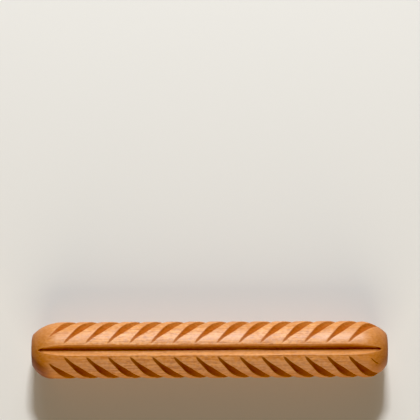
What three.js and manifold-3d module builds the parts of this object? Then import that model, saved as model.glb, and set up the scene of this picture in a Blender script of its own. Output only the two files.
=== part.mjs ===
// Clay texture roller: one solid rod of turned hardwood with rounded shoulders, carved all round.
// Two straight grooves run along opposite sides of the rod. Slanting lens-shaped strokes fill the
// two bands between them and mirror each other, so that the rod rolls a herringbone into clay.
//
// Millimetres. +X runs along the rod, +Z points up through one straight groove, and the origin is
// on the rod's axis at the middle of its length.

import * as THREE from 'three';
import { mergeVertices } from 'three/addons/utils/BufferGeometryUtils.js';
import Module from 'manifold-3d';

// The turned blank
const LENGTH = 126;
const DIAMETER = 20;
const SHOULDER_LENGTH = 9; // along the rod, from the end face to the full diameter
const SHOULDER_END_DIAMETER = 9.4; // where the shoulder's arc would meet the end face
const RIM_ROUNDING = 3; // radius between the end face and the shoulder

// The straight grooves, cut with a round-nosed gouge. Towards its tips a groove narrows and rises
// together, so that it ends in a steep point.
const GROOVE_DEPTH = 1.9;
const GROOVE_GOUGE_RADIUS = 2;
const GROOVE_END_GAP = 2.9; // from the end face to the groove's tip
const GROOVE_RUN_OUT = 13; // from the tip to the full depth

// The slanting strokes, cut with a smaller gouge
const STROKE_DEPTH = 1.2;
const STROKE_GOUGE_RADIUS = 1.75;
const STROKE_RUN_OUT = 15; // along the stroke, from its tip to the full depth
const STROKE_PITCH = 7.71; // from stroke to stroke along the rod
const STROKE_LEAN = 3; // pitches that a stroke travels along the rod from tip to tip
const STROKE_SHIFT = 2.97; // from the middle of the rod to a stroke's tip at the upper groove
const LAND_WIDTH = 0.1; // uncut wood between a straight groove and the strokes' tips
const SHOULDER_FOLLOW = 0.5; // share of the shoulder's drop that a stroke follows

// Fineness of the facets
const BLANK_SEGMENTS = 48;
const SHOULDER_SEGMENTS = 8;
const RIM_SEGMENTS = 2;
const GOUGE_SIDES = 12;
const GROOVE_STEPS = 30;
const STROKE_STEPS = 12;

const WOOD_COLOUR = 0xcf8d4c;

const radius = DIAMETER / 2;
const halfLength = LENGTH / 2;
const halfTurn = Math.PI;
const quarterTurn = halfTurn / 2;

// The shoulder is an arc that leaves the barrel without a corner.
const shoulderDrop = radius - SHOULDER_END_DIAMETER / 2;
const shoulderRadius = (SHOULDER_LENGTH ** 2 + shoulderDrop ** 2) / (2 * shoulderDrop);
const shoulderStart = halfLength - SHOULDER_LENGTH;
const shoulderCentreRadius = radius - shoulderRadius;

const strokeTravel = STROKE_LEAN * STROKE_PITCH;

// Half of the blank's profile at one end, from the axis to the barrel, as (distance, radius).
function endProfile() {
  const rimCentreX = halfLength - RIM_ROUNDING;
  const gap = shoulderRadius - RIM_ROUNDING;
  const rimCentreRadius = shoulderCentreRadius + Math.sqrt(gap ** 2 - (rimCentreX - shoulderStart) ** 2);
  const rimAngle = Math.atan2(rimCentreRadius - shoulderCentreRadius, rimCentreX - shoulderStart);
  const rim = new THREE.EllipseCurve(
    rimCentreX, rimCentreRadius, RIM_ROUNDING, RIM_ROUNDING, 0, rimAngle,
  );
  const shoulder = new THREE.EllipseCurve(
    shoulderStart, shoulderCentreRadius, shoulderRadius, shoulderRadius, rimAngle, quarterTurn,
  );
  const shoulderPoints = shoulder.getPoints(SHOULDER_SEGMENTS).slice(1);
  return [new THREE.Vector2(halfLength, 0), ...rim.getPoints(RIM_SEGMENTS), ...shoulderPoints];
}

// The blank, turned about X with a facet corner exactly on top.
function turnedBlank() {
  const right = endProfile();
  const left = right.map((point) => new THREE.Vector2(-point.x, point.y)).reverse();
  const outline = [...right, ...left].map((point) => new THREE.Vector2(point.y, -point.x));
  return new THREE.LatheGeometry(outline, BLANK_SEGMENTS).rotateZ(quarterTurn);
}

// The turned surface above a place on the axis: its radius, and how far its normal leans along X.
// Past the end face it keeps the shoulder's last radius.
function turnedSurface(x) {
  const pastBarrel = THREE.MathUtils.clamp(Math.abs(x) - shoulderStart, 0, SHOULDER_LENGTH);
  const rise = Math.sqrt(shoulderRadius ** 2 - pastBarrel ** 2);
  return {
    radius: shoulderCentreRadius + rise,
    leanX: (Math.sign(x) * pastBarrel) / shoulderRadius,
    leanOut: rise / shoulderRadius,
  };
}

// The way of a gouge's round nose, as a function from 0..1 to { x, angle, radius, nose }.
class GougePath extends THREE.Curve {
  constructor(place) {
    super();
    this.place = place;
  }

  getPoint(t, target = new THREE.Vector3()) {
    const { x, angle, radius: distance } = this.place(t);
    return target.set(x, distance * Math.sin(angle), distance * Math.cos(angle));
  }
}

// What a gouge takes away: a straight rod, bent along the gouge's way and as thick as its nose.
function gougeCut(place, steps) {
  const path = new GougePath(place);
  const cut = new THREE.CylinderGeometry(1, 1, 1, GOUGE_SIDES, steps);
  const corners = cut.attributes.position;
  for (let at = 0; at < corners.count; at += 1) {
    const corner = new THREE.Vector3().fromBufferAttribute(corners, at);
    const t = corner.y + 0.5;
    const { angle, nose } = place(t);
    const along = path.getTangent(t);
    const awayFromAxis = new THREE.Vector3(0, Math.sin(angle), Math.cos(angle));
    const sideways = new THREE.Vector3().crossVectors(along, awayFromAxis).normalize();
    const outwards = new THREE.Vector3().crossVectors(sideways, along);
    const bent = path.getPoint(t);
    bent.addScaledVector(sideways, corner.x * nose);
    bent.addScaledVector(outwards, corner.z * nose);
    corners.setXYZ(at, bent.x, bent.y, bent.z);
  }
  return cut;
}

// A straight groove follows the turned surface and runs out to a point on each shoulder.
function straightGroove(angle) {
  const reach = halfLength - GROOVE_END_GAP;
  const place = (t) => {
    const x = -reach * Math.cos(halfTurn * t);
    const fromTip = reach - Math.abs(x);
    const fullness = Math.sqrt(Math.sin(quarterTurn * Math.min(fromTip / GROOVE_RUN_OUT, 1)));
    const surface = turnedSurface(x);
    const nose = GROOVE_GOUGE_RADIUS * fullness;
    const above = nose - GROOVE_DEPTH * fullness;
    return {
      x: x + surface.leanX * above,
      angle,
      radius: surface.radius + surface.leanOut * above,
      nose,
    };
  };
  return gougeCut(place, GROOVE_STEPS);
}

// A slanting stroke starts beside the upper groove and ends beside the lower one. It is straight in
// the unrolled surface, pointed at both tips, and widest and deepest half way.
function slantingStroke(tipX, side) {
  const halfGroove = Math.sqrt(GROOVE_DEPTH * (2 * GROOVE_GOUGE_RADIUS - GROOVE_DEPTH));
  const tipAngle = (halfGroove + LAND_WIDTH) / radius;
  const sweep = halfTurn - 2 * tipAngle;
  const strokeLength = Math.hypot(strokeTravel, radius * sweep);
  const place = (t) => {
    const fromTip = strokeLength * Math.min(t, 1 - t);
    const depth = STROKE_DEPTH * THREE.MathUtils.smoothstep(fromTip, 0, STROKE_RUN_OUT);
    const x = tipX + strokeTravel * t;
    const drop = radius - turnedSurface(x).radius;
    return {
      x,
      angle: side * (tipAngle + sweep * t),
      radius: radius - SHOULDER_FOLLOW * drop - depth + STROKE_GOUGE_RADIUS,
      nose: STROKE_GOUGE_RADIUS,
    };
  };
  return gougeCut(place, STROKE_STEPS);
}

// Every stroke that reaches the full-width barrel. Those at the ends run out on the shoulders.
function strokeTips() {
  const first = Math.ceil((-shoulderStart - strokeTravel - STROKE_SHIFT) / STROKE_PITCH);
  const last = Math.floor((shoulderStart - STROKE_SHIFT) / STROKE_PITCH);
  const tips = [];
  for (let stroke = first; stroke <= last; stroke += 1) {
    tips.push(STROKE_SHIFT + stroke * STROKE_PITCH);
  }
  return tips;
}

const wasm = await Module();
wasm.setup();

// Corners of the triangles that have an area. A turned shape has empty ones on its axis.
function realTriangles(corners) {
  const kept = [];
  for (let at = 0; at < corners.length; at += 3) {
    const [a, b, c] = corners.slice(at, at + 3);
    if (a !== b && b !== c && c !== a) {
      kept.push(a, b, c);
    }
  }
  return kept;
}

function toSolid(geometry) {
  const bare = geometry.clone();
  bare.deleteAttribute('normal');
  bare.deleteAttribute('uv');
  const merged = mergeVertices(bare);
  return new wasm.Manifold(new wasm.Mesh({
    numProp: 3,
    vertProperties: new Float32Array(merged.attributes.position.array),
    triVerts: new Uint32Array(realTriangles(merged.index.array)),
  }));
}

function toGeometry(solid) {
  const mesh = solid.getMesh();
  const geometry = new THREE.BufferGeometry();
  geometry.setAttribute('position', new THREE.BufferAttribute(mesh.vertProperties, 3));
  geometry.setIndex(new THREE.BufferAttribute(mesh.triVerts, 1));
  geometry.computeVertexNormals();
  return geometry;
}

function carvedRod() {
  const cuts = [straightGroove(0), straightGroove(halfTurn)];
  for (const tipX of strokeTips()) {
    cuts.push(slantingStroke(tipX, 1), slantingStroke(tipX, -1));
  }
  let rod = toSolid(turnedBlank());
  for (const cut of cuts) {
    rod = rod.subtract(toSolid(cut));
  }
  return toGeometry(rod);
}

const wood = new THREE.MeshStandardMaterial({ color: WOOD_COLOUR, roughness: 0.5, metalness: 0 });

const rollerBody = new THREE.Mesh(carvedRod(), wood);
rollerBody.name = 'roller_body';

const roller = new THREE.Group();
roller.add(rollerBody);

export default roller;
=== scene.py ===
"""A clay texture roller of oiled beech, resting on a pale studio floor."""

import math

import bpy
import mathutils
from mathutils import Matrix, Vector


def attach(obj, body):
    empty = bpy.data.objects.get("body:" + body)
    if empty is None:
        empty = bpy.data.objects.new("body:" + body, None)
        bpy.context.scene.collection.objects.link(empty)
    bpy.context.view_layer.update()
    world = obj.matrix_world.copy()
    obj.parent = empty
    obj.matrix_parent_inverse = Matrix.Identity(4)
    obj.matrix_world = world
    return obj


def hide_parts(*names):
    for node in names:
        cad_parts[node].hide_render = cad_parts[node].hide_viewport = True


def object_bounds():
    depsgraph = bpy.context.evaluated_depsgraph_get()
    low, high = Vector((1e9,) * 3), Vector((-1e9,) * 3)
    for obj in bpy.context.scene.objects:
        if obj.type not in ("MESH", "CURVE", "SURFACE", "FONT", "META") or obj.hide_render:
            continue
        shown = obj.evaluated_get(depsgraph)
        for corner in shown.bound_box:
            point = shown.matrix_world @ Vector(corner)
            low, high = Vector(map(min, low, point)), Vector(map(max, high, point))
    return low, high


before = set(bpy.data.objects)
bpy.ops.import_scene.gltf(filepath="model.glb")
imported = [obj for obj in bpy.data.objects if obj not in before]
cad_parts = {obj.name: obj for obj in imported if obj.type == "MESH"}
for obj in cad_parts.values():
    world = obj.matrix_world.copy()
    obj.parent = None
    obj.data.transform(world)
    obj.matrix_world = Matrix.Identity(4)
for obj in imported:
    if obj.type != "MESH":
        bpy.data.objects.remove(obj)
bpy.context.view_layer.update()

# The roller: one rod of straight-grained beech, turned with rounded shoulders and sanded. Two
# straight grooves and two rows of slanting strokes are then carved with round-nosed gouges, and
# the whole rod is soaked in oil and wiped, which leaves it orange-brown with a satin sheen.

mm = 0.001

stroke_pitch = 7.662 * mm
pitches_travelled = 3  # along the rod, by a stroke on its way from groove to groove
roller_sizes = {
    # The turned blank
    "Length": 125.6 * mm,
    "Diameter": 19.94 * mm,
    "Shoulder Length": 9 * mm,
    "Shoulder Skew": 2 * mm,
    "Shoulder End Diameter": 10.6 * mm,
    "Rim Rounding": 2 * mm,
    # The straight grooves
    "Groove Depth": 1.75 * mm,
    "Groove Gouge Radius": 1.8 * mm,
    "Groove End Gap": 2.7 * mm,
    "Groove Run Out": 13 * mm,
    "Groove Lip Rounding": 0.2 * mm,
    # The slanting strokes
    "Stroke Depth": 1.2 * mm,
    "Stroke Gouge Radius": 1.75 * mm,
    "Stroke Tip Length": 2 * mm,
    "Stroke Run Out": 13.5 * mm,
    "Stroke Pitch": stroke_pitch,
    "Stroke Travel": pitches_travelled * stroke_pitch,
    "Stroke Shift": 2.705 * mm,
    "Stroke Start Gap": 6.2 * mm,
    "Stroke End Drop": 3 * mm,
    "Stroke Lip Rounding": 0.05 * mm,
    "Stroke Entry": 0.11 * mm,
    "Stroke Entry Skew": 0.015 * mm,
    "Stroke Band Offset": 0.15 * mm,
    "Stroke Bend": 0.36 * mm,
    "Stroke Bow": 0.12 * mm,
    "Land Width": 0.3 * mm,
    # The nick, and the carver's unsteady hand
    "Nick Start": 0.7 * mm,
    "Nick Length": 4.6 * mm,
    "Nick Run Out": 1 * mm,
    "Nick Offset": 0.6 * mm,
    "Nick Depth": 0.14 * mm,
    "Nick Gouge Radius": 0.35 * mm,
    "Hand Wobble": 0.2 * mm,
}
nick_stroke = 7  # strokes are numbered from the middle of the rod
rings_along_rod = 378
sides_around_rod = 260
carving_seed = 4


def add_node(tree, kind, inputs=(), **settings):
    """Adds a node, sets it, and fills its inputs by place or by name. Returns its first output."""
    node = tree.nodes.new(kind)
    for name, value in settings.items():
        setattr(node, name, value)
    filled = inputs.items() if isinstance(inputs, dict) else enumerate(inputs)
    for key, value in filled:
        if isinstance(value, bpy.types.NodeSocket):
            tree.links.new(value, node.inputs[key])
        else:
            node.inputs[key].default_value = value
    shown = [output for output in node.outputs if output.enabled]
    return shown[0] if shown else None


tree = bpy.data.node_groups.new("turned_and_carved_rod", "GeometryNodeTree")
for name in roller_sizes:
    socket = tree.interface.new_socket(name, in_out="INPUT", socket_type="NodeSocketFloat")
    socket.subtype = "DISTANCE"
for name in ("Rings", "Sides", "Seed"):
    tree.interface.new_socket(name, in_out="INPUT", socket_type="NodeSocketInt")
tree.interface.new_socket("Wood", in_out="INPUT", socket_type="NodeSocketMaterial")
tree.interface.new_socket("Mesh", in_out="OUTPUT", socket_type="NodeSocketGeometry")
size_of = add_node(tree, "NodeGroupInput").node.outputs

# The turned outline, followed from the middle of the rod to the middle of one end: a straight
# barrel, the shoulder's arc, the rim's small arc and the flat end face. An arc's share of the way
# is clamped, so that each part takes over where the one before it stops.
radius = add_node(tree, "ShaderNodeMath", [size_of["Diameter"], 0.5], operation="MULTIPLY")
half_length = add_node(tree, "ShaderNodeMath", [size_of["Length"], 0.5], operation="MULTIPLY")
end_radius = add_node(
    tree, "ShaderNodeMath", [size_of["Shoulder End Diameter"], 0.5], operation="MULTIPLY")
drop = add_node(tree, "ShaderNodeMath", [radius, end_radius], operation="SUBTRACT")
barrel_half = add_node(
    tree, "ShaderNodeMath", [half_length, size_of["Shoulder Length"]], operation="SUBTRACT")
shoulder_squared = add_node(
    tree, "ShaderNodeMath", [size_of["Shoulder Length"], 2.0], operation="POWER")
shoulder_rise = add_node(tree, "ShaderNodeMath", [shoulder_squared, drop], operation="DIVIDE")
shoulder_span = add_node(tree, "ShaderNodeMath", [shoulder_rise, drop], operation="ADD")
shoulder_radius = add_node(tree, "ShaderNodeMath", [shoulder_span, 0.5], operation="MULTIPLY")
shoulder_centre = add_node(
    tree, "ShaderNodeMath", [radius, shoulder_radius], operation="SUBTRACT")
rim_gap = add_node(
    tree, "ShaderNodeMath", [shoulder_radius, size_of["Rim Rounding"]], operation="SUBTRACT")
rim_reach = add_node(
    tree, "ShaderNodeMath", [size_of["Shoulder Length"], size_of["Rim Rounding"]],
    operation="SUBTRACT")
rim_slant = add_node(tree, "ShaderNodeMath", [rim_reach, rim_gap], operation="DIVIDE")
rim_start = add_node(tree, "ShaderNodeMath", [rim_slant], operation="ARCSINE")
rim_turn = add_node(tree, "ShaderNodeMath", [math.pi / 2, rim_start], operation="SUBTRACT")
shoulder_way = add_node(
    tree, "ShaderNodeMath", [rim_start, shoulder_radius], operation="MULTIPLY")
rim_way = add_node(
    tree, "ShaderNodeMath", [rim_turn, size_of["Rim Rounding"]], operation="MULTIPLY")
rim_lift = add_node(tree, "ShaderNodeMath", [rim_start], operation="COSINE")
rim_height = add_node(tree, "ShaderNodeMath", [rim_gap, rim_lift], operation="MULTIPLY")
face_radius = add_node(tree, "ShaderNodeMath", [shoulder_centre, rim_height], operation="ADD")
to_rim = add_node(tree, "ShaderNodeMath", [barrel_half, shoulder_way], operation="ADD")
to_face = add_node(tree, "ShaderNodeMath", [to_rim, rim_way], operation="ADD")
to_pole = add_node(tree, "ShaderNodeMath", [to_face, face_radius], operation="ADD")
outline_way = add_node(tree, "ShaderNodeMath", [to_pole, 2.0], operation="MULTIPLY")

# A flat grid is the rod's surface, unrolled: X is the way along the outline, Y the angle round it.
# The angle is drawn together beside the straight grooves, whose steep lips need the finest sides.
grid = add_node(
    tree, "GeometryNodeMeshGrid",
    {"Size X": outline_way, "Size Y": 2 * math.pi,
     "Vertices X": size_of["Rings"], "Vertices Y": size_of["Sides"]})
place = add_node(tree, "GeometryNodeInputPosition")
way_and_angle = add_node(tree, "ShaderNodeSeparateXYZ", [place]).node.outputs
twice_round = add_node(tree, "ShaderNodeMath", [way_and_angle["Y"], 2.0], operation="MULTIPLY")
round_wave = add_node(tree, "ShaderNodeMath", [twice_round], operation="SINE")
drawn_together = -0.34
angle = add_node(
    tree, "ShaderNodeMath", [round_wave, drawn_together, way_and_angle["Y"]],
    operation="MULTIPLY_ADD")
side = add_node(tree, "ShaderNodeMath", [way_and_angle["X"]], operation="SIGN")
way = add_node(tree, "ShaderNodeMath", [way_and_angle["X"]], operation="ABSOLUTE")
along_barrel = add_node(tree, "ShaderNodeMath", [way, barrel_half], operation="MINIMUM")
past_barrel = add_node(tree, "ShaderNodeMath", [way, barrel_half], operation="SUBTRACT")
shoulder_angle = add_node(
    tree, "ShaderNodeMath", [past_barrel, shoulder_radius], operation="DIVIDE")
shoulder_turned = add_node(
    tree, "ShaderNodeClamp", {"Value": shoulder_angle, "Min": 0.0, "Max": rim_start})
past_shoulder = add_node(tree, "ShaderNodeMath", [way, to_rim], operation="SUBTRACT")
rim_angle = add_node(
    tree, "ShaderNodeMath", [past_shoulder, size_of["Rim Rounding"]], operation="DIVIDE")
rim_turned = add_node(
    tree, "ShaderNodeClamp", {"Value": rim_angle, "Min": 0.0, "Max": rim_turn})
lean = add_node(tree, "ShaderNodeMath", [shoulder_turned, rim_turned], operation="ADD")
past_rim = add_node(tree, "ShaderNodeMath", [way, to_face], operation="SUBTRACT")
down_face = add_node(tree, "ShaderNodeMath", [past_rim, 0.0], operation="MAXIMUM")

straight_up = (0, 0, 1)
shoulder_normal = add_node(
    tree, "ShaderNodeVectorRotate", {"Vector": straight_up, "Angle": shoulder_turned},
    rotation_type="Y_AXIS")
normal = add_node(
    tree, "ShaderNodeVectorRotate", {"Vector": straight_up, "Angle": lean},
    rotation_type="Y_AXIS")
rim_step = add_node(
    tree, "ShaderNodeVectorMath", [normal, shoulder_normal], operation="SUBTRACT")
on_shoulder = add_node(
    tree, "ShaderNodeVectorMath", {"Vector": shoulder_normal, "Scale": shoulder_radius},
    operation="SCALE")
on_rim = add_node(
    tree, "ShaderNodeVectorMath", {"Vector": rim_step, "Scale": size_of["Rim Rounding"]},
    operation="SCALE")
face_centre = add_node(
    tree, "ShaderNodeMath", [shoulder_centre, down_face], operation="SUBTRACT")
on_barrel = add_node(tree, "ShaderNodeCombineXYZ", {"X": along_barrel, "Z": face_centre})
to_shoulder = add_node(
    tree, "ShaderNodeVectorMath", [on_barrel, on_shoulder], operation="ADD")
even_blank = add_node(tree, "ShaderNodeVectorMath", [to_shoulder, on_rim], operation="ADD")
even_parts = add_node(tree, "ShaderNodeSeparateXYZ", [even_blank]).node.outputs

# Sanding by hand has left the shoulders longer on the far side of the rod than on the near side.
far_side = add_node(tree, "ShaderNodeMath", [angle], operation="SINE")
longer_here = add_node(
    tree, "ShaderNodeMath", [far_side, size_of["Shoulder Skew"]], operation="MULTIPLY")
from_end = add_node(
    tree, "ShaderNodeMath", [half_length, even_parts["X"]], operation="SUBTRACT")
shoulder_left = add_node(
    tree, "ShaderNodeMath", [from_end, size_of["Shoulder Length"]], operation="DIVIDE")
on_shoulder_share = add_node(tree, "ShaderNodeMath", [shoulder_left, 1.0], operation="MINIMUM")
barrel_share = add_node(
    tree, "ShaderNodeMapRange",
    {"Value": even_parts["X"], "From Min": 0.0, "From Max": barrel_half})
skew_share = add_node(
    tree, "ShaderNodeMath", [on_shoulder_share, barrel_share], operation="MULTIPLY")
pulled_back = add_node(tree, "ShaderNodeMath", [longer_here, skew_share], operation="MULTIPLY")
blank_reach = add_node(
    tree, "ShaderNodeMath", [even_parts["X"], pulled_back], operation="SUBTRACT")
blank_radius = even_parts["Z"]
blank = add_node(tree, "ShaderNodeCombineXYZ", {"X": blank_reach, "Z": blank_radius})
along_rod = add_node(tree, "ShaderNodeMath", [blank_reach, side], operation="MULTIPLY")
from_top = add_node(tree, "ShaderNodeMath", [angle], operation="ABSOLUTE")

# A carver's hand wanders a little: a slow seeded noise shifts every cut along and across the rod.
steady_stretch = 12 * mm
wander_place = add_node(
    tree, "ShaderNodeCombineXYZ", {"X": along_rod, "Y": add_node(
        tree, "ShaderNodeMath", [from_top, radius], operation="MULTIPLY")})
wander_noise = add_node(
    tree, "ShaderNodeTexNoise",
    {"Vector": wander_place, "W": size_of["Seed"], "Scale": 1 / steady_stretch, "Detail": 1.0},
    noise_dimensions="4D").node.outputs["Color"]
wander_centred = add_node(
    tree, "ShaderNodeVectorMath", [wander_noise, (0.5, 0.5, 0.5)], operation="SUBTRACT")
wander = add_node(
    tree, "ShaderNodeVectorMath", {"Vector": wander_centred, "Scale": size_of["Hand Wobble"]},
    operation="SCALE")
wander_parts = add_node(tree, "ShaderNodeSeparateXYZ", [wander]).node.outputs


def gouge_depth(deepest, gouge_radius, across):
    """How deep a round-nosed cut is beside its middle line. It is negative past the lips."""
    nose_squared = add_node(tree, "ShaderNodeMath", [gouge_radius, 2.0], operation="POWER")
    across_squared = add_node(tree, "ShaderNodeMath", [across, 2.0], operation="POWER")
    chord_squared = add_node(
        tree, "ShaderNodeMath", [nose_squared, across_squared], operation="SUBTRACT")
    chord_kept = add_node(tree, "ShaderNodeMath", [chord_squared, 0.0], operation="MAXIMUM")
    chord = add_node(tree, "ShaderNodeMath", [chord_kept], operation="SQRT")
    lift = add_node(tree, "ShaderNodeMath", [gouge_radius, deepest], operation="SUBTRACT")
    beside_middle = add_node(tree, "ShaderNodeMath", [across], operation="ABSOLUTE")
    past_nose = add_node(
        tree, "ShaderNodeMath", [beside_middle, gouge_radius], operation="SUBTRACT")
    uncut = add_node(tree, "ShaderNodeMath", [past_nose, 0.0], operation="MAXIMUM")
    above_surface = add_node(tree, "ShaderNodeMath", [lift, uncut], operation="ADD")
    return add_node(tree, "ShaderNodeMath", [chord, above_surface], operation="SUBTRACT")


# The straight grooves lie at the top and at the bottom, and run out to a point on each shoulder.
groove_reach = add_node(
    tree, "ShaderNodeMath", [half_length, size_of["Groove End Gap"]], operation="SUBTRACT")
from_groove_tip = add_node(
    tree, "ShaderNodeMath", [groove_reach, blank_reach], operation="SUBTRACT")
groove_share = add_node(
    tree, "ShaderNodeMath", [from_groove_tip, size_of["Groove Run Out"]], operation="DIVIDE")
groove_run = add_node(tree, "ShaderNodeClamp", [groove_share])
groove_quarter = add_node(
    tree, "ShaderNodeMath", [groove_run, math.pi / 2], operation="MULTIPLY")
groove_swell = add_node(tree, "ShaderNodeMath", [groove_quarter], operation="SINE")
groove_fullness = add_node(tree, "ShaderNodeMath", [groove_swell], operation="SQRT")
groove_deepest = add_node(
    tree, "ShaderNodeMath", [groove_fullness, size_of["Groove Depth"]], operation="MULTIPLY")
groove_nose = add_node(
    tree, "ShaderNodeMath", [groove_fullness, size_of["Groove Gouge Radius"]],
    operation="MULTIPLY")
from_bottom = add_node(tree, "ShaderNodeMath", [math.pi, from_top], operation="SUBTRACT")
from_groove = add_node(tree, "ShaderNodeMath", [from_top, from_bottom], operation="MINIMUM")
groove_arc = add_node(
    tree, "ShaderNodeMath", [from_groove, blank_radius], operation="MULTIPLY")
groove_across = add_node(
    tree, "ShaderNodeMath", [groove_arc, wander_parts["Y"]], operation="ADD")
groove_depth = gouge_depth(groove_deepest, groove_nose, groove_across)

# The slanting strokes are almost straight lines in the unrolled surface. Each starts beside the
# upper groove, ends beside the lower one, and is widest and deepest half way between them. First
# comes the place of a stroke's tips, which lie one land's width beside the grooves' lips.
groove_nose_width = add_node(
    tree, "ShaderNodeMath", [size_of["Groove Gouge Radius"], 2.0], operation="MULTIPLY")
groove_rest = add_node(
    tree, "ShaderNodeMath", [groove_nose_width, size_of["Groove Depth"]], operation="SUBTRACT")
groove_half_squared = add_node(
    tree, "ShaderNodeMath", [groove_rest, size_of["Groove Depth"]], operation="MULTIPLY")
groove_half = add_node(tree, "ShaderNodeMath", [groove_half_squared], operation="SQRT")
tip_arc = add_node(
    tree, "ShaderNodeMath", [groove_half, size_of["Land Width"]], operation="ADD")
tip_angle = add_node(tree, "ShaderNodeMath", [tip_arc, radius], operation="DIVIDE")
both_tips = add_node(tree, "ShaderNodeMath", [tip_angle, 2.0], operation="MULTIPLY")
sweep = add_node(tree, "ShaderNodeMath", [math.pi, both_tips], operation="SUBTRACT")
sweep_arc = add_node(tree, "ShaderNodeMath", [sweep, radius], operation="MULTIPLY")
stroke_vector = add_node(
    tree, "ShaderNodeCombineXYZ", {"X": size_of["Stroke Travel"], "Y": sweep_arc})
stroke_length = add_node(
    tree, "ShaderNodeVectorMath", [stroke_vector], operation="LENGTH").node.outputs["Value"]

# The nearest stroke to each point, and how far beside that stroke's middle line the point lies. By
# chance a stroke starts a little early or late and is cut a little deeper or shallower.
past_tip = add_node(tree, "ShaderNodeMath", [from_top, tip_angle], operation="SUBTRACT")
round_share = add_node(tree, "ShaderNodeMath", [past_tip, sweep], operation="DIVIDE")
carried = add_node(
    tree, "ShaderNodeMath", [round_share, size_of["Stroke Travel"]], operation="MULTIPLY")
back_at_tip = add_node(tree, "ShaderNodeMath", [along_rod, carried], operation="SUBTRACT")
from_shift = add_node(
    tree, "ShaderNodeMath", [back_at_tip, size_of["Stroke Shift"]], operation="SUBTRACT")
in_pitches = add_node(
    tree, "ShaderNodeMath", [from_shift, size_of["Stroke Pitch"]], operation="DIVIDE")
stroke_number = add_node(tree, "ShaderNodeMath", [in_pitches], operation="ROUND")
stroke_start = add_node(
    tree, "ShaderNodeMath", [stroke_number, size_of["Stroke Pitch"]], operation="MULTIPLY")
beside = add_node(tree, "ShaderNodeMath", [from_shift, stroke_start], operation="SUBTRACT")
band = add_node(tree, "ShaderNodeMath", [angle], operation="SIGN")
stroke_label = add_node(
    tree, "ShaderNodeCombineXYZ", {"X": stroke_number, "Y": band, "Z": size_of["Seed"]})
chance = add_node(tree, "ShaderNodeTexWhiteNoise", {"Vector": stroke_label}).node.outputs["Color"]
chance_parts = add_node(tree, "ShaderNodeSeparateXYZ", [chance]).node.outputs
shift_chance = add_node(
    tree, "ShaderNodeMath", [chance_parts["X"], 0.5], operation="SUBTRACT")
band_shift = add_node(
    tree, "ShaderNodeMath", [band, size_of["Stroke Band Offset"]], operation="MULTIPLY")
stroke_shift = add_node(
    tree, "ShaderNodeMath", [shift_chance, size_of["Hand Wobble"], band_shift],
    operation="MULTIPLY_ADD")

# A stroke bows slightly, and both its tips bend towards the run of the rod.
bend_from, bend_to = 0.3, 0.42  # shares of the way round, counted from half way
from_half_way = add_node(tree, "ShaderNodeMath", [round_share, 0.5], operation="SUBTRACT")
which_half = add_node(tree, "ShaderNodeMath", [from_half_way], operation="SIGN")
towards_tip = add_node(tree, "ShaderNodeMath", [from_half_way], operation="ABSOLUTE")
tip_bend = add_node(
    tree, "ShaderNodeMapRange",
    {"Value": towards_tip, "From Min": bend_from, "From Max": bend_to,
     "To Max": size_of["Stroke Bend"]},
    interpolation_type="SMOOTHSTEP")
bend = add_node(tree, "ShaderNodeMath", [tip_bend, which_half], operation="MULTIPLY")
bow_turn = add_node(tree, "ShaderNodeMath", [round_share, 2 * math.pi], operation="MULTIPLY")
bow_share = add_node(tree, "ShaderNodeMath", [bow_turn], operation="SINE")
bent = add_node(
    tree, "ShaderNodeMath", [bow_share, size_of["Stroke Bow"], bend], operation="MULTIPLY_ADD")
beside_bent = add_node(tree, "ShaderNodeMath", [beside, bent], operation="SUBTRACT")
beside_shifted = add_node(
    tree, "ShaderNodeMath", [beside_bent, stroke_shift], operation="ADD")
beside_wandering = add_node(
    tree, "ShaderNodeMath", [beside_shifted, wander_parts["X"]], operation="ADD")
steepness = add_node(tree, "ShaderNodeMath", [sweep_arc, stroke_length], operation="DIVIDE")
stroke_across = add_node(
    tree, "ShaderNodeMath", [beside_wandering, steepness], operation="MULTIPLY")
slant = add_node(
    tree, "ShaderNodeMath", [size_of["Stroke Travel"], stroke_length], operation="DIVIDE")
foot_shift = add_node(tree, "ShaderNodeMath", [beside_wandering, slant], operation="MULTIPLY")
stroke_along = add_node(
    tree, "ShaderNodeMath", [round_share, stroke_length, foot_shift], operation="MULTIPLY_ADD")
to_other_tip = add_node(
    tree, "ShaderNodeMath", [stroke_length, stroke_along], operation="SUBTRACT")

# A cut enters the wood at its tip, deepens along its run-out, and is level between. The strokes at
# the left end start late, at a gap from the end face.
from_nearer_tip = add_node(
    tree, "ShaderNodeMath", [stroke_along, to_other_tip], operation="MINIMUM")
start_reach = add_node(
    tree, "ShaderNodeMath", [half_length, size_of["Stroke Start Gap"]], operation="SUBTRACT")
past_start_gap = add_node(tree, "ShaderNodeMath", [along_rod, start_reach], operation="ADD")
from_first_start = add_node(tree, "ShaderNodeMath", [past_start_gap, slant], operation="DIVIDE")
from_stroke_tip = add_node(
    tree, "ShaderNodeMath", [from_nearer_tip, from_first_start], operation="MINIMUM")
stroke_fullness = add_node(
    tree, "ShaderNodeMapRange",
    {"Value": from_stroke_tip, "From Min": size_of["Stroke Tip Length"],
     "From Max": size_of["Stroke Run Out"]},
    interpolation_type="SMOOTHSTEP")
entry_change = add_node(
    tree, "ShaderNodeMath", [band, size_of["Stroke Entry Skew"]], operation="MULTIPLY")
stroke_entry = add_node(
    tree, "ShaderNodeMath", [size_of["Stroke Entry"], entry_change], operation="SUBTRACT")
stroke_ramp = add_node(
    tree, "ShaderNodeMapRange",
    {"Value": from_stroke_tip, "From Min": 0.0, "From Max": size_of["Stroke Tip Length"],
     "To Max": stroke_entry},
    clamp=False)
stroke_entered = add_node(
    tree, "ShaderNodeMath", [stroke_ramp, stroke_entry], operation="MINIMUM")
main_depth = add_node(
    tree, "ShaderNodeMath", [size_of["Stroke Depth"], stroke_entry], operation="SUBTRACT")
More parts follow.
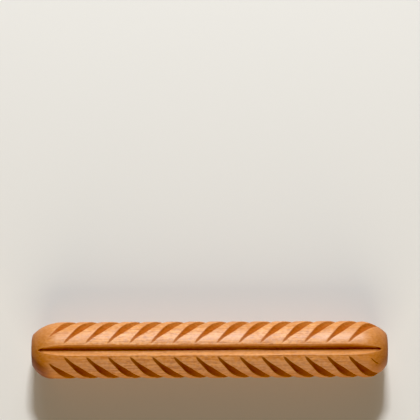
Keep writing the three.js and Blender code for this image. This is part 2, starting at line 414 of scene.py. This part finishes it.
stroke_deepest = add_node(
    tree, "ShaderNodeMath", [stroke_fullness, main_depth, stroke_entered],
    operation="MULTIPLY_ADD")
depth_spread = 0.05
depth_chance = add_node(
    tree, "ShaderNodeMapRange",
    {"Value": chance_parts["Y"], "To Min": 1 - depth_spread, "To Max": 1 + depth_spread})
stroke_cut = add_node(
    tree, "ShaderNodeMath", [stroke_deepest, depth_chance], operation="MULTIPLY")

# Where a shoulder has dropped away, the gouge hardly reaches it. Easing only ever takes depth away,
# so the smaller of both is kept: past the tips a depth is negative, and has to stay so.
no_cut = -1 * mm
turned_away = add_node(tree, "ShaderNodeMath", [radius, blank_radius], operation="SUBTRACT")
share_kept = add_node(
    tree, "ShaderNodeMapRange",
    {"Value": turned_away, "From Min": 0.0, "From Max": size_of["Stroke End Drop"],
     "To Min": 1.0, "To Max": 0.0},
    interpolation_type="SMOOTHSTEP")
eased_cut = add_node(tree, "ShaderNodeMath", [stroke_cut, share_kept], operation="MULTIPLY")
main_cut = add_node(tree, "ShaderNodeMath", [stroke_cut, eased_cut], operation="MINIMUM")
every_stroke = gouge_depth(main_cut, size_of["Stroke Gouge Radius"], stroke_across)
past_last_stroke = add_node(
    tree, "ShaderNodeMath", [stroke_number, nick_stroke - 0.5], operation="GREATER_THAN")
main_strokes = add_node(
    tree, "ShaderNodeMath", [past_last_stroke, no_cut, every_stroke], operation="MULTIPLY_ADD")

# The last stroke on the right was only started, and only on the near side: a thin nick.
nick_start = add_node(
    tree, "ShaderNodeMath", [stroke_along, size_of["Nick Start"]], operation="SUBTRACT")
nick_left = add_node(
    tree, "ShaderNodeMath", [size_of["Nick Length"], nick_start], operation="SUBTRACT")
from_nick_tip = add_node(tree, "ShaderNodeMath", [nick_start, nick_left], operation="MINIMUM")
nick_deepest = add_node(
    tree, "ShaderNodeMapRange",
    {"Value": from_nick_tip, "From Min": 0.0, "From Max": size_of["Nick Run Out"],
     "To Max": size_of["Nick Depth"]},
    clamp=False)
nick_capped = add_node(
    tree, "ShaderNodeMath", [nick_deepest, size_of["Nick Depth"]], operation="MINIMUM")
nick_across = add_node(
    tree, "ShaderNodeMath", [stroke_across, size_of["Nick Offset"]], operation="ADD")
nick_cut = gouge_depth(nick_capped, size_of["Nick Gouge Radius"], nick_across)
other_stroke = add_node(
    tree, "ShaderNodeMath", [stroke_number, nick_stroke], operation="SUBTRACT")
far_from_nick = add_node(tree, "ShaderNodeMath", [other_stroke], operation="ABSOLUTE")
other_band = add_node(
    tree, "ShaderNodeMath", [angle, 0.0], operation="GREATER_THAN")
not_nicked = add_node(tree, "ShaderNodeMath", [far_from_nick, other_band], operation="ADD")
nick_depth = add_node(
    tree, "ShaderNodeMath", [not_nicked, no_cut, nick_cut], operation="MULTIPLY_ADD")
stroke_depth = add_node(
    tree, "ShaderNodeMath", [main_strokes, nick_depth], operation="MAXIMUM")

# Sanding after the carving leaves the lips softly rounded.
groove_lip = add_node(
    tree, "ShaderNodeMath", [groove_fullness, size_of["Groove Lip Rounding"]],
    operation="MULTIPLY")
groove_carved = add_node(
    tree, "ShaderNodeMath", [groove_depth, 0.0, groove_lip], operation="SMOOTH_MAX")
stroke_carved = add_node(
    tree, "ShaderNodeMath", [stroke_depth, 0.0, size_of["Stroke Lip Rounding"]],
    operation="SMOOTH_MAX")
carved = add_node(tree, "ShaderNodeMath", [groove_carved, stroke_carved], operation="MAXIMUM")

# The flat end faces stay uncut, so that the corners in the middle of each meet in one point.
face_edge = 0.5 * mm  # the strip at a face's rim over which any cut fades out
into_wood = add_node(
    tree, "ShaderNodeMapRange",
    {"Value": down_face, "From Min": 0.0, "From Max": face_edge, "To Min": -1.0, "To Max": 0.0})
carved_in = add_node(tree, "ShaderNodeMath", [carved, into_wood], operation="MULTIPLY")
inwards = add_node(
    tree, "ShaderNodeVectorMath", {"Vector": normal, "Scale": carved_in}, operation="SCALE")
surface = add_node(tree, "ShaderNodeVectorMath", [blank, inwards], operation="ADD")
which_end = add_node(tree, "ShaderNodeCombineXYZ", {"X": side, "Y": 1.0, "Z": 1.0})
surface_on_side = add_node(
    tree, "ShaderNodeVectorMath", [surface, which_end], operation="MULTIPLY")
round_rod = add_node(tree, "ShaderNodeMath", [angle, -1.0], operation="MULTIPLY")
rolled_up = add_node(
    tree, "ShaderNodeVectorRotate", {"Vector": surface_on_side, "Angle": round_rod},
    rotation_type="X_AXIS")

# The material reads how deep each cut is and how near its bottom or tip, where on its stroke a
# point lies, and how much of the fibres' ends the turned surface shows.
in_millimetres = 1 / mm
stroke_place = add_node(
    tree, "ShaderNodeCombineXYZ", {"X": stroke_along, "Y": stroke_across, "Z": 0.0})
stroke_place_mm = add_node(
    tree, "ShaderNodeVectorMath", {"Vector": stroke_place, "Scale": in_millimetres},
    operation="SCALE")
stroke_depth_mm = add_node(
    tree, "ShaderNodeMath", [stroke_depth, in_millimetres], operation="MULTIPLY")
groove_depth_mm = add_node(
    tree, "ShaderNodeMath", [groove_depth, in_millimetres], operation="MULTIPLY")
groove_tip_mm = add_node(
    tree, "ShaderNodeMath", [from_groove_tip, in_millimetres], operation="MULTIPLY")
groove_share_cut = add_node(
    tree, "ShaderNodeMath", [groove_depth, groove_deepest], operation="DIVIDE")
end_grain = add_node(tree, "ShaderNodeMath", [lean], operation="SINE")
shape = grid
for attribute, value, data_type in (
    ("stroke_depth", stroke_depth_mm, "FLOAT"),
    ("groove_depth", groove_depth_mm, "FLOAT"),
    ("groove_share", groove_share_cut, "FLOAT"),
    ("groove_tip", groove_tip_mm, "FLOAT"),
    ("end_grain", end_grain, "FLOAT"),
    ("stroke_place", stroke_place_mm, "FLOAT_VECTOR"),
):
    shape = add_node(
        tree, "GeometryNodeStoreNamedAttribute",
        {"Geometry": shape, "Name": attribute, "Value": value}, data_type=data_type)
shape = add_node(
    tree, "GeometryNodeSetPosition", {"Geometry": shape, "Position": rolled_up})
shape = add_node(
    tree, "GeometryNodeMergeByDistance", {"Geometry": shape, "Distance": 0.001 * mm})
shape = add_node(tree, "GeometryNodeSetShadeSmooth", {"Geometry": shape})
shape = add_node(tree, "GeometryNodeRealizeInstances", {"Geometry": shape})
shape = add_node(
    tree, "GeometryNodeSetMaterial", {"Geometry": shape, "Material": size_of["Wood"]})
add_node(tree, "NodeGroupOutput", [shape])


def linear(hex_colour):
    """Turns an sRGB hex colour into the linear colour that a shader reads."""
    channels = [int(hex_colour[at:at + 2], 16) / 255 for at in (0, 2, 4)]
    return [c / 12.92 if c <= 0.04045 else ((c + 0.055) / 1.055) ** 2.4 for c in channels] + [1]


# Oiled beech: fine straight fibres along the rod, open pores, faint growth rings, short brown ray
# flecks and a wiped oil finish. Oil makes it glow orange, and deeper wherever a cut or an end
# drinks it.
wood = bpy.data.materials.new("oiled_beech")
wood.use_nodes = True
nodes = wood.node_tree
nodes.nodes.clear()
where = add_node(nodes, "ShaderNodeTexCoord").node.outputs["Object"]
where_mm = add_node(
    nodes, "ShaderNodeMapping", {"Vector": where, "Scale": (1 / mm, 1 / mm, 1 / mm)})
place_parts = add_node(nodes, "ShaderNodeSeparateXYZ", [where_mm]).node.outputs
from_middle = add_node(nodes, "ShaderNodeMath", [place_parts["X"]], operation="ABSOLUTE")
beside_axis = add_node(nodes, "ShaderNodeMath", [place_parts["Y"]], operation="ABSOLUTE")
measured = {
    name: add_node(nodes, "ShaderNodeAttribute", attribute_name=name).node.outputs
    for name in (
        "stroke_depth", "groove_depth", "groove_share", "groove_tip", "end_grain", "stroke_place")
}
cut_depth = measured["stroke_depth"]["Fac"]

# Fibres: 0.5 mm wide and about 8 mm long. Real ones are finer, but would vanish at this distance.
fibre_length, fibre_width = 8.3, 0.5
fibre_place = add_node(
    nodes, "ShaderNodeMapping",
    {"Vector": where_mm, "Scale": (1 / fibre_length, 1 / fibre_width, 1 / fibre_width)})
fibres = add_node(
    nodes, "ShaderNodeTexNoise", {"Vector": fibre_place, "Scale": 1.0, "Detail": 3.0})

# Pores: specks about 0.6 mm across, which is half of the noise's grain. Real ones are a tenth of
# that, so these are drawn as coarse as it takes to show. The same noise varies the wood's tint.
pore_grain_length, pore_grain_width = 1.25, 0.91
pore_place = add_node(
    nodes, "ShaderNodeMapping",
    {"Vector": where_mm,
     "Scale": (1 / pore_grain_length, 1 / pore_grain_width, 1 / pore_grain_width)})
pores = add_node(
    nodes, "ShaderNodeTexNoise", {"Vector": pore_place, "Scale": 1.0, "Detail": 1.0})
pore_tints = add_node(nodes, "ShaderNodeSeparateColor", [pores.node.outputs["Color"]])
pores_centred = add_node(nodes, "ShaderNodeMath", [pores, 0.5], operation="SUBTRACT")
pore_strength = 0.55
grain = add_node(
    nodes, "ShaderNodeMath", [pores_centred, pore_strength, fibres], operation="MULTIPLY_ADD")

# Growth rings: 2.4 mm apart, round a pith that lies far outside this thin rod, and nearly straight
# along it. Each darkens slowly and ends sharply. A Wave texture of scale 1 has rings pi / 10 apart.
ring_spacing = 2.4
ring_stretch = 20
pith_place = (0, 31, 47)
ring_place = add_node(
    nodes, "ShaderNodeMapping",
    {"Vector": where_mm, "Location": pith_place, "Scale": (1 / ring_stretch, 1, 1)})
rings = add_node(
    nodes, "ShaderNodeTexWave",
    {"Vector": ring_place, "Scale": math.pi / 10 / ring_spacing, "Distortion": 3.0,
     "Detail": 2.0, "Detail Scale": 0.5},
    wave_type="RINGS", rings_direction="X", wave_profile="SAW").node.outputs["Fac"]
late_wood = add_node(nodes, "ShaderNodeMath", [rings, 3.0], operation="POWER")

# Ray flecks: brown spindles about 2 mm long and 0.5 mm wide, one in each cell of this size.
fleck_cell_length, fleck_cell_width = 3.125, 0.91
fleck_place = add_node(
    nodes, "ShaderNodeMapping",
    {"Vector": where_mm,
     "Scale": (1 / fleck_cell_length, 1 / fleck_cell_width, 1 / fleck_cell_width)})
fleck_cells = add_node(
    nodes, "ShaderNodeTexVoronoi", {"Vector": fleck_place, "Scale": 1.0}).node.outputs
flecks = add_node(
    nodes, "ShaderNodeMapRange",
    {"Value": fleck_cells["Distance"], "From Min": 0.32, "From Max": 0.12},
    interpolation_type="SMOOTHSTEP")
fleck_chance = add_node(nodes, "ShaderNodeSeparateColor", [fleck_cells["Color"]])
some_flecks = add_node(nodes, "ShaderNodeMath", [flecks, fleck_chance], operation="MULTIPLY")

# Oil: soaked in unevenly, in clouds about 12 mm across and twice as long.
cloud_length, cloud_width = 24, 12
cloud_place = add_node(
    nodes, "ShaderNodeMapping",
    {"Vector": where_mm, "Scale": (1 / cloud_length, 1 / cloud_width, 1 / cloud_width)})
clouds = add_node(
    nodes, "ShaderNodeTexNoise", {"Vector": cloud_place, "Scale": 1.0, "Detail": 2.0})

# The sanded land: pale and dark fibres, with a tint that is stronger or weaker by the pores' noise,
# then rings and flecks.
fibre_share = add_node(
    nodes, "ShaderNodeMapRange", {"Value": grain, "From Min": 0.3, "From Max": 0.7})
long_grain = add_node(
    nodes, "ShaderNodeMix", {0: fibre_share, 6: linear("b46b24"), 7: linear("e4a361")},
    data_type="RGBA").node.outputs[2]
tint_share = add_node(
    nodes, "ShaderNodeMapRange",
    {"Value": pore_tints.node.outputs["Green"], "From Min": 0.3, "From Max": 0.7,
     "To Min": 0.93, "To Max": 1.07})
tinted_grain = add_node(
    nodes, "ShaderNodeHueSaturation", {"Saturation": tint_share, "Color": long_grain})
ring_strength = 0.35
ring_share = add_node(
    nodes, "ShaderNodeMath", [late_wood, ring_strength], operation="MULTIPLY")
ringed = add_node(
    nodes, "ShaderNodeMix", {0: ring_share, 6: tinted_grain, 7: linear("b06c36")},
    data_type="RGBA").node.outputs[2]
fleck_strength = 0.9
fleck_share = add_node(
    nodes, "ShaderNodeMath", [some_flecks, fleck_strength], operation="MULTIPLY")
flecked = add_node(
    nodes, "ShaderNodeMix", {0: fleck_share, 6: ringed, 7: linear("9c5c2c")},
    data_type="RGBA").node.outputs[2]

# The oil deepens the clouds, and more so the last 20 mm at each end, where the wood drank most.
cloud_share = add_node(
    nodes, "ShaderNodeMapRange",
    {"Value": clouds, "From Min": 0.35, "From Max": 0.65, "To Min": 0.0, "To Max": 0.4})
oil_share = add_node(
    nodes, "ShaderNodeMapRange",
    {"Value": from_middle, "From Min": 40.0, "From Max": 60.0, "To Min": cloud_share,
     "To Max": 0.7})
oiled = add_node(
    nodes, "ShaderNodeMix", {0: oil_share, 6: flecked, 7: linear("c27e3e")},
    data_type="RGBA").node.outputs[2]

# The end faces show the fibres' ends, dark brown with rings. The last few millimetres of the left
# end are painted the same brown, with a wavy edge that slants across the rod and reaches further in
# on the near side.
end_squared = add_node(
    nodes, "ShaderNodeMath", [measured["end_grain"]["Fac"], 2.0], operation="POWER")
end_grain_strength = 0.85
end_grain_share = add_node(
    nodes, "ShaderNodeMath", [end_squared, end_grain_strength], operation="MULTIPLY")
left_end_slant = 0.5
left_end_waviness_mm = 8.0
left_end_lean = add_node(
    nodes, "ShaderNodeMath", [place_parts["Y"], left_end_slant, place_parts["X"]],
    operation="MULTIPLY_ADD")
left_end_edge = add_node(
    nodes, "ShaderNodeMath", [clouds, left_end_waviness_mm, left_end_lean], operation="MULTIPLY_ADD")
left_end_darkening = add_node(
    nodes, "ShaderNodeMapRange",
    {"Value": left_end_edge, "From Min": -54.0, "From Max": -59.0, "To Min": 0.0, "To Max": 0.95},
    interpolation_type="SMOOTHSTEP")
end_share = add_node(
    nodes, "ShaderNodeMath", [end_grain_share, left_end_darkening], operation="MAXIMUM")
end_colour = add_node(
    nodes, "ShaderNodeMix", {0: late_wood, 6: linear("8c4a18"), 7: linear("6e3208")},
    data_type="RGBA").node.outputs[2]
land_colour = add_node(
    nodes, "ShaderNodeMix", {0: end_share, 6: oiled, 7: end_colour},
    data_type="RGBA").node.outputs[2]

# The strokes: cut across the fibres, so torn and dark with oil. Painted shade makes the strokes on
# the near side, which face away from the key light, darker than those on the far side, up to their
# tips. Painted light makes the strokes paler towards both flanks of the rod.
in_stroke = add_node(
    nodes, "ShaderNodeMapRange", {"Value": cut_depth, "From Min": 0.0, "From Max": 0.05})
# Painted shade: the near side of the rod, turned away from the key light, gets the darker cut
# colour.
painted_light_far_side = add_node(
    nodes, "ShaderNodeMapRange",
    {"Value": place_parts["Y"], "From Min": -3.0, "From Max": 3.0})
painted_shade_cut_colour = add_node(
    nodes, "ShaderNodeMix", {0: painted_light_far_side, 6: linear("884e1f"), 7: linear("a65a26")},
    data_type="RGBA").node.outputs[2]
# Painted light: towards both flanks of the rod the cut colour is painted paler.
flank_painted_light = add_node(
    nodes, "ShaderNodeMapRange",
    {"Value": beside_axis, "From Min": 7.5, "From Max": 9.7, "To Min": 0.0, "To Max": 0.75})
deep_colour = add_node(
    nodes, "ShaderNodeMix", {0: flank_painted_light, 6: painted_shade_cut_colour, 7: linear("b0733a")},
    data_type="RGBA").node.outputs[2]
# Painted shade: on the near side even a stroke's shallow edges and tips take the dark cut colour.
painted_shade_tip_share = add_node(
    nodes, "ShaderNodeMapRange", {"Value": painted_light_far_side, "To Min": 0.95, "To Max": 0.4})
deep_share = add_node(
    nodes, "ShaderNodeMapRange",
    {"Value": cut_depth, "From Min": 0.0, "From Max": 0.15, "To Min": painted_shade_tip_share, "To Max": 1.0})
cut_colour = add_node(
    nodes, "ShaderNodeMix", {0: deep_share, 6: land_colour, 7: deep_colour},
    data_type="RGBA").node.outputs[2]
torn_share = add_node(
    nodes, "ShaderNodeMapRange",
    {"Value": grain, "From Min": 0.35, "From Max": 0.72, "To Min": 0.0, "To Max": 0.45})
torn = add_node(
    nodes, "ShaderNodeMix", {0: torn_share, 6: cut_colour, 7: linear("743a10")},
    data_type="RGBA").node.outputs[2]
stroke_colour = add_node(
    nodes, "ShaderNodeMix", {0: in_stroke, 6: land_colour, 7: torn},
    data_type="RGBA").node.outputs[2]

# The straight grooves: cut along the fibres, so clean and pale in the middle of the rod. Their far
# wall, which lies in shade, is painted paler and cooler than the near wall. Painted shade darkens
# the bottom, mostly on its far side where the far lip's shadow falls, and darkens the tips.
in_groove = add_node(
    nodes, "ShaderNodeMapRange",
    {"Value": measured["groove_depth"]["Fac"], "From Min": 0.0, "From Max": 0.1})
clean_share = add_node(
    nodes, "ShaderNodeMapRange",
    {"Value": from_middle, "From Min": 36.0, "From Max": 58.0, "To Min": 0.4, "To Max": 0.1})
# Painted light: the groove's far wall, in shade, is painted paler and cooler than its near wall.
clean_wood_and_painted_light = add_node(
    nodes, "ShaderNodeMix", {0: painted_light_far_side, 6: linear("d69a5c"), 7: linear("dcac8c")},
    data_type="RGBA").node.outputs[2]
groove_wall = add_node(
    nodes, "ShaderNodeMix", {0: clean_share, 6: land_colour, 7: clean_wood_and_painted_light},
    data_type="RGBA").node.outputs[2]
# Painted shade: the groove's bottom is darkened, more on its far side, where the far lip's shadow
# falls.
bottom_lean = 0.15
far_of_bottom = add_node(
    nodes, "ShaderNodeMath", [place_parts["Y"], bottom_lean, measured["groove_share"]["Fac"]],
    operation="MULTIPLY_ADD")
groove_bottom_painted_shade = add_node(
    nodes, "ShaderNodeMapRange",
    {"Value": far_of_bottom, "From Min": 0.72, "From Max": 0.98, "To Max": 0.47})
# Painted shade: the first two millimetres from each groove tip are darkened too.
groove_tip = add_node(
    nodes, "ShaderNodeMapRange",
    {"Value": measured["groove_tip"]["Fac"], "From Min": 0.6, "From Max": 2.2, "To Min": 0.8,
     "To Max": 0.0})
groove_painted_shade = add_node(
    nodes, "ShaderNodeMath", [groove_bottom_painted_shade, groove_tip], operation="MAXIMUM")
groove_colour = add_node(
    nodes, "ShaderNodeMix", {0: groove_painted_shade, 6: groove_wall, 7: linear("6a2e0c")},
    data_type="RGBA").node.outputs[2]
colour = add_node(
    nodes, "ShaderNodeMix", {0: in_groove, 6: stroke_colour, 7: groove_colour},
    data_type="RGBA").node.outputs[2]

# Satin on the sanded land, where fibres and clouds of oil vary it, and dull inside the cuts.
in_any_cut = add_node(nodes, "ShaderNodeMath", [in_stroke, in_groove], operation="MAXIMUM")
land_roughness = add_node(
    nodes, "ShaderNodeMapRange",
    {"Value": clouds, "From Min": 0.35, "From Max": 0.65, "To Min": 0.52, "To Max": 0.44})
fibre_dulling = 0.06
fibre_roughness = add_node(
    nodes, "ShaderNodeMath", [fibre_share, fibre_dulling, land_roughness],
    operation="MULTIPLY_ADD")
cut_roughness = 0.85
roughness = add_node(
    nodes, "ShaderNodeMix",
    {0: in_any_cut, 2: fibre_roughness, 3: cut_roughness}).node.outputs[0]

# The film of oil gives the wood its sheen. It is full along the barrel, thinner towards the thirsty
# ends, and was wiped off the bottoms of the cuts.
land_film = add_node(
    nodes, "ShaderNodeMapRange",
    {"Value": from_middle, "From Min": 36.0, "From Max": 60.0, "To Min": 0.78, "To Max": 0.5})
stroke_film = add_node(
    nodes, "ShaderNodeMapRange",
    {"Value": cut_depth, "From Min": 0.0, "From Max": 0.3, "To Min": land_film, "To Max": 0.15})
film = add_node(
    nodes, "ShaderNodeMapRange", {"Value": in_groove, "To Min": stroke_film, "To Max": 0.4})

# Relief, in millimetres: raised fibres, sunken flecks, and the ripples that a gouge leaves.
ripple_spacing = 1.1
fibre_height, fleck_height, ripple_height = 0.03, -0.012, 0.008
along_stroke = add_node(
    nodes, "ShaderNodeSeparateXYZ", [measured["stroke_place"]["Vector"]]).node.outputs["X"]
ripple_turn = add_node(
    nodes, "ShaderNodeMath", [along_stroke, 2 * math.pi / ripple_spacing],
    operation="MULTIPLY")
ripples = add_node(nodes, "ShaderNodeMath", [ripple_turn], operation="SINE")
stroke_ripples = add_node(nodes, "ShaderNodeMath", [ripples, in_stroke], operation="MULTIPLY")
raised = add_node(nodes, "ShaderNodeMath", [fibres, fibre_height], operation="MULTIPLY")
sunken = add_node(
    nodes, "ShaderNodeMath", [some_flecks, fleck_height, raised], operation="MULTIPLY_ADD")
rippled = add_node(
    nodes, "ShaderNodeMath", [stroke_ripples, ripple_height, sunken], operation="MULTIPLY_ADD")
relief = add_node(nodes, "ShaderNodeBump", {"Height": rippled, "Distance": 1 * mm})
shader = add_node(
    nodes, "ShaderNodeBsdfPrincipled",
    {"Base Color": colour, "Roughness": roughness, "Specular IOR Level": film,
     "Normal": relief})
add_node(nodes, "ShaderNodeOutputMaterial", [shader])

pattern = bpy.data.objects.new("roller_pattern", bpy.data.meshes.new("roller_pattern"))
bpy.context.scene.collection.objects.link(pattern)
carving = pattern.modifiers.new("carving", "NODES")
carving.node_group = tree
settings = {
    **roller_sizes, "Rings": rings_along_rod, "Sides": sides_around_rod,
    "Seed": carving_seed, "Wood": wood,
}
for item in tree.interface.items_tree:
    if item.in_out == "INPUT":
        carving[item.identifier] = settings[item.name]
evaluated = pattern.evaluated_get(bpy.context.evaluated_depsgraph_get())
roller_mesh = bpy.data.meshes.new_from_object(evaluated)
roller_mesh.materials.clear()
roller_mesh.materials.append(wood)
bpy.data.objects.remove(pattern)
roller = bpy.data.objects.new("roller", roller_mesh)
bpy.context.scene.collection.objects.link(roller)
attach(roller, "root")
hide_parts("roller_body")

# The floor: a plain pale studio surface that the roller rests on.
floor_half = 1.5
floor_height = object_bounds()[0].z
floor_mesh = bpy.data.meshes.new("floor")
floor_mesh.from_pydata(
    [(x, y, floor_height) for x, y in (
        (-floor_half, -floor_half), (floor_half, -floor_half),
        (floor_half, floor_half), (-floor_half, floor_half))],
    [], [(0, 1, 2, 3)])
floor = bpy.data.objects.new("floor", floor_mesh)
bpy.context.scene.collection.objects.link(floor)
plaster = bpy.data.materials.new("pale_matt_floor")
plaster.use_nodes = True
plaster_nodes = plaster.node_tree
plaster_nodes.nodes.clear()
plaster_shader = add_node(
    plaster_nodes, "ShaderNodeBsdfPrincipled",
    {"Base Color": linear("dedfdd"), "Roughness": 0.9})
add_node(plaster_nodes, "ShaderNodeOutputMaterial", [plaster_shader])
floor_mesh.materials.append(plaster)

# The light: a softbox behind the roller, low enough to rake the carving, a wide pale screen below
# it, and a warm screen on the near side that opens up the shadows. All stand equally far away.
lamp_distance = 1.2
for name, bearing, elevation, width, height, power, tint in (
    ("key", 88, 38.3, 0.20, 0.05, 13.9, "ffffff"),
    ("far_screen", 90, 20, 0.70, 0.75, 5.3, "ffffff"),
    ("near_screen", -90, 26, 1.10, 1.10, 11.5, "ffe8c8"),
):
    lamp = bpy.data.lights.new(name, "AREA")
    lamp.shape = "RECTANGLE"
    lamp.size = width
    lamp.size_y = height
    lamp.energy = power
    lamp.color = linear(tint)[:3]
    light = bpy.data.objects.new(name, lamp)
    turn = mathutils.Euler((math.radians(90 - elevation), 0, math.radians(bearing + 90)))
    light.rotation_euler = turn
    light.location = turn.to_matrix() @ mathutils.Vector((0, 0, lamp_distance))
    bpy.context.scene.collection.objects.link(light)
room = bpy.data.worlds.new("room")
room.use_nodes = True
room.node_tree.nodes["Background"].inputs["Color"].default_value = linear("fffaf4")
room.node_tree.nodes["Background"].inputs["Strength"].default_value = 0.02
bpy.context.scene.world = room
# Plain tones, with the black point raised a little so that the grooves' bottoms go fully dark.
bpy.context.scene.view_settings.view_transform = "Standard"
bpy.context.scene.view_settings.use_curve_mapping = True
bpy.context.scene.view_settings.curve_mapping.black_level = (0.025, 0.025, 0.025)
bpy.context.scene.view_settings.curve_mapping.update()

# The camera stands straight above the roller and looks a little past it, which puts the roller in
# the lower part of the frame.
camera = bpy.data.objects.new("camera", bpy.data.cameras.new("camera"))
camera.data.sensor_width = 36  # millimetres, as the lens is
camera.data.lens = 178
camera.location = (0.13 * mm, 0, 737.4 * mm)
camera.rotation_euler = (math.radians(3.85), 0, math.radians(-0.25))
bpy.context.scene.collection.objects.link(camera)
bpy.context.scene.camera = camera
